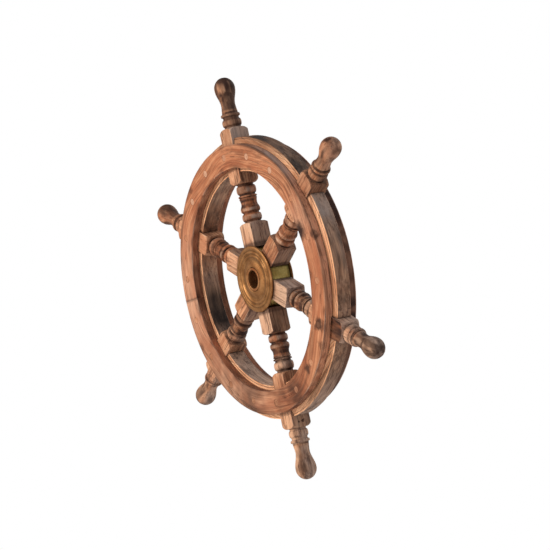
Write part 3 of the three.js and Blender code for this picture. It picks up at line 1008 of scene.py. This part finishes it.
def felloe_section():
    """The felloe's section as (radius, y): sloping outer edges, eased corners, a groove in each slope."""
    points = []
    for side in (-1, 1):
        y = side * FELLOE_HALF
        edge = side * FELLOE_EDGE_HALF
        slope = (edge - y) / (FELLOE_OUTER - FELLOE_SLOPE)
        row = rounded_corner(FELLOE_INNER, y, 1, -side, 1.3)[::-1]
        for step, sink in ((2.6, 0), (2.9, 0.45), (3.4, 0.45), (3.7, 0)):
            row.append((FELLOE_INNER + step, y - side * sink))
        row += [(RING_INNER + 4, y), (PEG_CIRCLE, y), (RING_OUTER - 4, y), (FELLOE_SLOPE, y)]
        for r, sink in ((207.6, 0), (207.9, 0.45), (208.4, 0.45), (208.7, 0), (209.3, 0), (210.2, 0.12)):
            row.append((r, y + slope * (r - FELLOE_SLOPE) - side * sink))
        row += [(FELLOE_OUTER - 0.15, edge - side * 0.55), (FELLOE_OUTER, edge - side * 1.3)]
        # out along the front, across the outer wall, back along the back, across the inner wall
        wall = FELLOE_OUTER if side == -1 else FELLOE_INNER
        points += row[::-side] + [(wall, side * 6), (wall, 0), (wall, side * -6)]
    return points


def felloe_base():
    section = felloe_section()
    rows = []
    for i in range(FELLOE_STEPS + 1):
        row = []
        for r, y in section:
            trim = math.asin(NOTCH_HALF / r)
            a = trim + (PITCH - 2 * trim) * (i / FELLOE_STEPS)
            row.append((r * math.sin(a), y, r * math.cos(a)))
        rows.append(row)
    mesh = grid_solid("felloe", np.array(rows), "ngon")
    return cut(mesh, [peg_holes(PEG_RADIUS + 0.12, 32, (PEG_STEP, 2 * PEG_STEP))])


def felloe_places(p):
    """Distance from the axle; whether each point is on the felloe's outer wall, inner wall."""
    r = from_axle(p)
    return r, r > FELLOE_OUTER - 0.7, r < FELLOE_INNER + 0.7


def felloe_stain_and_shade(p, angle, seed):
    r, outer, inner = felloe_places(p)
    # painted shade on the felloe's face at the feet of the rings, and in its grooves
    stain = most(unit(1 - np.abs(r - RING_OUTER) / 1.2) * 0.55, unit(1 - np.abs(r - RING_INNER) / 2.0) * 0.7)
    groove = ((r > 207.8) & (r < 208.5)) | ((r > FELLOE_INNER + 2.8) & (r < FELLOE_INNER + 3.5))
    stain = np.where(groove, 0.6, stain)
    slope = (r > RING_OUTER + 0.5) & ~outer
    slope_dark = np.where(r > FELLOE_OUTER - 2.0, 1.6, 1.0) * marks(angle, SLOPE_DARK)
    stain = np.where(slope, most(stain, slope_dark), stain)
    inner_dark = 0.03 + 0.35 * noise_at(p, 16.0, seed) + marks(angle, FELLOE_INNER_DARK)
    outer_dark = 0.10 + 0.35 * noise_at(p, 20.0, seed + 4) + marks(angle, FELLOE_WALL_DARK)
    stain = np.where(inner, inner_dark, np.where(outer, outer_dark, stain))
    # dirt and painted shade against the spokes' blocks, where the felloe meets them
    local = np.arctan2(p[:, 0], p[:, 2])
    from_block = r * np.minimum(np.sin(np.abs(local)), np.sin(np.abs(PITCH - local))) - NOTCH_HALF
    return unit(most(stain, unit(1 - from_block / 2.0) * 0.7))


def felloe_tone(p, angle, seed):
    _, outer, inner = felloe_places(p)
    tone = np.where(outer, marks(angle, FELLOE_WALL_BLEACHED), 0)
    tone = np.where(inner, 0.08 + marks(angle, FELLOE_INNER_BLEACHED), tone)
    return unit(uneven(tone, p, 0.4, 12.0, seed))


def felloe_varnish(p, angle, seed):
    _, outer, inner = felloe_places(p)
    varnish = np.where(outer, marks(angle, FELLOE_WALL_VARNISHED), 0)
    varnish = np.where(inner, marks(angle, FELLOE_INNER_VARNISHED), varnish)
    return unit(uneven(varnish, p, 0.5, 14.0, seed))


felloe_mesh = felloe_base()
for k in range(SPOKES):
    mesh = felloe_mesh.copy()
    wear(mesh, depth=0.3, size=15.0, seed=300 + k)
    p = coords(mesh)
    # the grain runs straight, square to the felloe's middle
    c, s = math.cos(PITCH / 2), math.sin(PITCH / 2)
    along = p[:, 0] * c - p[:, 2] * s
    across = p[:, 0] * s + p[:, 2] * c
    angle = place_on_rim(p, 60 * k)
    finish_wood(mesh, along * LONG_GRAIN, across, p[:, 1], 30 + k, felloe_stain_and_shade(p, angle, 40 + k),
                felloe_tone(p, angle, 60 + k), felloe_varnish(p, angle, 80 + k), tilt=0.05 * math.sin(k * 2.9))
    piece(f"rim_middle_{k + 1}", mesh, felloe_wood, f"felloe_{k + 1}", WHEEL,
          Matrix.Rotation(k * PITCH, 4, "Y"))


# ---------------------------------------------------------------- pegs
PEG_SIDES = 36
# the paler and the darker pegs, counted from 0 at +Z; number 6 sits in a knot
PEG_TONE = {0: 0.75, 1: 0.75, 2: 0.75, 8: 0.4, 16: 0.75, 17: 0.75}
PEG_FRONT_STAIN = {6: 1.0, 8: 0.3, 9: 0.3, 10: 0.45, 11: 0.4, 12: 0.2}


def peg_mesh(seed):
    """A whittled peg: slightly out of round, with eased, faintly domed ends."""
    end = ((0, 0.05), (0.01, 2.6), (0.03, 4.5), (0.1, 4.85), (0.3, 4.97), (4, PEG_RADIUS))
    rows = [(-PEG_HALF + step, r) for step, r in end]
    rows += [(0, PEG_RADIUS)] + [(-y, r) for y, r in reversed(rows)]
    angles = np.arange(PEG_SIDES) * 2 * math.pi / PEG_SIDES
    out_of_round = 1 - 0.003 * (1 + np.sin(2 * angles + seed)) - 0.002 * (1 + np.sin(3 * angles + 2 * seed))
    grid = np.zeros((len(rows), PEG_SIDES, 3))
    for i, (y, r) in enumerate(rows):
        grid[i, :, 0] = r * out_of_round * np.sin(angles)
        grid[i, :, 1] = y
        grid[i, :, 2] = r * out_of_round * np.cos(angles) + PEG_CIRCLE
    return grid_solid("peg", grid, "fan")


for i in range(SPOKES * 3):
    mesh = peg_mesh(i * 1.3)
    p = coords(mesh)
    # painted shade round the end of each peg, where it meets its hole
    rim_shade = rising(np.hypot(p[:, 0], p[:, 2] - PEG_CIRCLE), 4.7, 0.3) * 0.2
    stain = rim_shade + PEG_FRONT_STAIN.get(i, 0) * (p[:, 1] < 0)
    finish_wood(mesh, p[:, 1], p[:, 0], p[:, 2], 50 + i, stain, PEG_TONE.get(i, 0.15))
    piece(f"wood_peg_{i + 1}", mesh, peg_wood, f"peg_{i + 1}", WHEEL,
          Matrix.Rotation(i * PEG_STEP, 4, "Y"))


# ---------------------------------------------------------------- hub
# (radius, height over the plate's back) along the plate's turned face, from the rim in to the bore
PLATE_FACE = [
    (49.1, 0.15), (49.4, 0.5), (49.4, 2.0), (49.1, 2.6), (48.5, 3.0), (47.6, 3.2), (46.2, 3.35),
    (44.6, 3.45), (44.0, 3.35), (43.6, 2.95), (43.1, 2.8), (42.6, 2.95), (42.2, 3.5), (41.7, 3.95),
    (41.0, 4.15), (40.0, 4.2), (39.2, 4.05), (38.6, 3.6), (38.1, 3.1), (37.5, 2.95), (37.0, 3.1),
    (36.6, 3.5), (36.1, 3.75), (35.4, 3.85), (34.4, 3.85), (33.6, 3.7), (33.0, 3.3), (32.3, 2.85),
    (31.3, 2.6), (30.0, 2.45), (28.6, 2.4), (27.4, 2.55), (26.2, 3.0), (24.8, 3.65), (23.4, 4.2),
    (22.2, 4.6), (21.0, 4.8), (19.6, 4.9), (18.6, 4.85), (18.1, 4.6),
]
DISH = 31.5  # radius inside which the plate's face is dished


def plate_stain(r, h):
    """Dirt in the plate's grooves and on its edge, from the radius and the height over its back."""
    groove = falling(h, 3.35, 0.9) * ((r > DISH) & (r < 45)) * 0.95
    dish = falling(h, 3.0, 0.7) * ((r <= DISH) & (r > 25)) * 0.35
    edge = falling(h, 1.2, 1.2) * 0.7
    step = falling(h, 4.1, 0.5) * ((r > 34.5) & (r < 46)) * 0.28
    return unit(most(groove, dish, edge, step))


def add_plate(name, side):
    profile = [(PLATE_BORE, 0.0)] + PLATE_FACE + [(PLATE_BORE + 0.05, 4.2), (PLATE_BORE, 3.4)]
    mesh = ring_solid("plate", [(r, side * (PLATE_BACK + h)) for r, h in profile], 192)
    p = coords(mesh)
    finish_brass(mesh, plate_stain(from_axle(p), np.abs(p[:, 1]) - PLATE_BACK))
    piece(f"brass_plate_{name}", mesh, plate_brass, f"hub_{name}_plate", WHEEL, sharp=50)


def add_barrel():
    edge = [(BARREL_OUTER, BARREL_HALF - 0.4), (BARREL_OUTER - 0.4, BARREL_HALF), (BARREL_INNER, BARREL_HALF)]
    profile = [(r, -y) for r, y in reversed(edge)]
    for i, y in enumerate(np.arange(-14, 14.1, 1.0)):
        profile.append((BARREL_OUTER - 0.25 * math.sin(i * 1.7) ** 2, y))
    mesh = ring_solid("barrel", profile + edge, 144)
    out = Matrix.Translation((0, 0, 40)) @ Matrix.Rotation(math.pi / 2, 4, "X")
    turns = [Matrix.Rotation(k * PITCH, 4, "Y") for k in range(SPOKES)]
    sockets = [cylinder_mesh("socket", SOCKET_RADIUS, 20, 36, turn @ out) for turn in turns]
    mesh = cut(mesh, [join_meshes("sockets", sockets)])
    finish_brass(mesh, rising(np.abs(coords(mesh)[:, 1]), 11, 4) * 0.8)
    piece("brass_barrel", mesh, barrel_brass, "hub_barrel", WHEEL)


def add_sleeve():
    bore = 13.7
    half = [(22.0, 15.3), (21.7, 15.6), (17.4, 15.6), (17.4, 20.7), (17.35, 21.1), (17.1, 21.4), (16.6, 21.5),
            (14.5, 21.5), (14.1, 21.45), (13.8, 21.2), (bore, 20.9)]
    profile = [(r, -y) for r, y in reversed(half)] + half + [(bore, y) for y in (18, 12, 0, -12, -18)]
    mesh = ring_solid("sleeve", profile, 128)
    p = coords(mesh)
    inside = from_axle(p) < bore + 0.05
    finish_brass(mesh, inside * falling(np.abs(p[:, 1]), 21.0, 3) * 0.5)
    piece("brass_sleeve", mesh, sleeve_brass, "axle_sleeve", SLEEVE, sharp=50)


def core_wood():
    """Dark wood with its grain along the axle."""
    material = bpy.data.materials.new("core_wood")
    g = Graph(material)
    where = g.coordinate("Object")
    fibre = g.noise(where, (500, 40, 500), 4.0, 0.6)
    rings = g.noise(where, (160, 12, 160), 2.0, 0.5)
    colour = g.blend((0.12, 0.055, 0.03), (0.26, 0.14, 0.08), g.ramp(fibre, 0.3, 0.7))
    colour = g.blend(colour, (0.08, 0.035, 0.02), g.ramp(rings, 0.45, 0.6, 0.0, 0.5))
    g.surface(colour, g.ramp(fibre, 0.3, 0.7, 0.85, 0.65), g.bump(fibre, 0.5, 0.0006), specular=0.3)
    return material


add_plate("front", -1)
add_plate("back", 1)
add_barrel()
add_sleeve()
# the hidden wooden core keeps its CAD shape
core = bpy.data.objects["hub_core"].data
core.materials.clear()
core.materials.append(core_wood())


# ---------------------------------------------------------------- studio
def area_light(name, place, size, power, colour):
    """A round light that faces the middle of the wheel."""
    data = bpy.data.lights.new(name, "AREA")
    data.shape = "DISK"
    data.size = size
    data.energy = power
    data.color = colour
    obj = add_object(name, data)
    obj.location = place
    obj.rotation_euler = (-Vector(place)).to_track_quat("-Z", "Y").to_euler()


def background(tree, colour, strength):
    node = tree.nodes.new("ShaderNodeBackground")
    node.inputs["Color"].default_value = (*colour, 1.0)
    node.inputs["Strength"].default_value = strength
    return node.outputs[0]


def studio_world():
    """White behind the wheel, and a softer, bluer light on it."""
    world = bpy.data.worlds.new("studio")
    bpy.context.scene.world = world
    world.use_nodes = True
    tree = world.node_tree
    tree.nodes.clear()
    both = tree.nodes.new("ShaderNodeMixShader")
    out = tree.nodes.new("ShaderNodeOutputWorld")
    tree.links.new(tree.nodes.new("ShaderNodeLightPath").outputs["Is Camera Ray"], both.inputs[0])
    tree.links.new(background(tree, (0.93, 0.96, 1.0), 0.42), both.inputs[1])
    tree.links.new(background(tree, (1.0, 1.0, 1.0), 1.0), both.inputs[2])
    tree.links.new(both.outputs[0], out.inputs[0])


def studio_floor(level, radius, sides=128):
    points = [(0.0, 0.0, level)]
    for i in range(sides):
        a = 2 * math.pi * i / sides
        points.append((radius * math.cos(a), radius * math.sin(a), level))
    mesh = new_mesh("floor", points, [(0, i + 1, (i + 1) % sides + 1) for i in range(sides)])
    material = bpy.data.materials.new("floor_pale")
    material.use_nodes = True
    shader = material.node_tree.nodes["Principled BSDF"]
    shader.inputs["Base Color"].default_value = (0.88, 0.88, 0.88, 1.0)
    shader.inputs["Roughness"].default_value = 0.85
    mesh.materials.append(material)
    return add_object("floor", mesh)


area_light("key", (-0.55, -3.3, 1.25), 0.9, 98, (1.0, 0.95, 0.88))
area_light("fill", (3.0, -0.6, 1.8), 2.4, 24, (0.92, 0.96, 1.0))
area_light("rear", (-0.6, 3.2, 1.8), 2.2, 45, (1.0, 0.97, 0.93))
studio_world()
# a plain pale floor, well below the wheel, which hangs on its axle
floor = studio_floor(level=-0.75, radius=4.5)

# ---------------------------------------------------------------- camera
CAMERA_AZIMUTH = 58.81  # degrees from the front, -Y, towards +X
CAMERA_HEIGHT = -4.085  # degrees over the horizon
CAMERA_ROLL = 12.13  # degrees
CAMERA_PLACE = (3.4594, -2.0767, -0.2877)  # metres
CAMERA_LENS = 178.83  # millimetres
CAMERA_SENSOR = 36

az, el = math.radians(CAMERA_AZIMUTH), math.radians(CAMERA_HEIGHT)
back = Vector((math.sin(az) * math.cos(el), -math.cos(az) * math.cos(el), math.sin(el)))
turn = back.to_track_quat("Z", "Y").to_matrix()
turn = turn @ Matrix.Rotation(math.radians(-CAMERA_ROLL), 3, "Z")
camera_data = bpy.data.cameras.new("camera")
camera_data.lens = CAMERA_LENS
camera_data.sensor_width = CAMERA_SENSOR
camera_data.clip_end = 100
camera = add_object("camera", camera_data)
camera.location = CAMERA_PLACE
camera.rotation_euler = turn.to_euler()
bpy.context.scene.camera = camera

bpy.context.scene.view_settings.view_transform = "Standard"
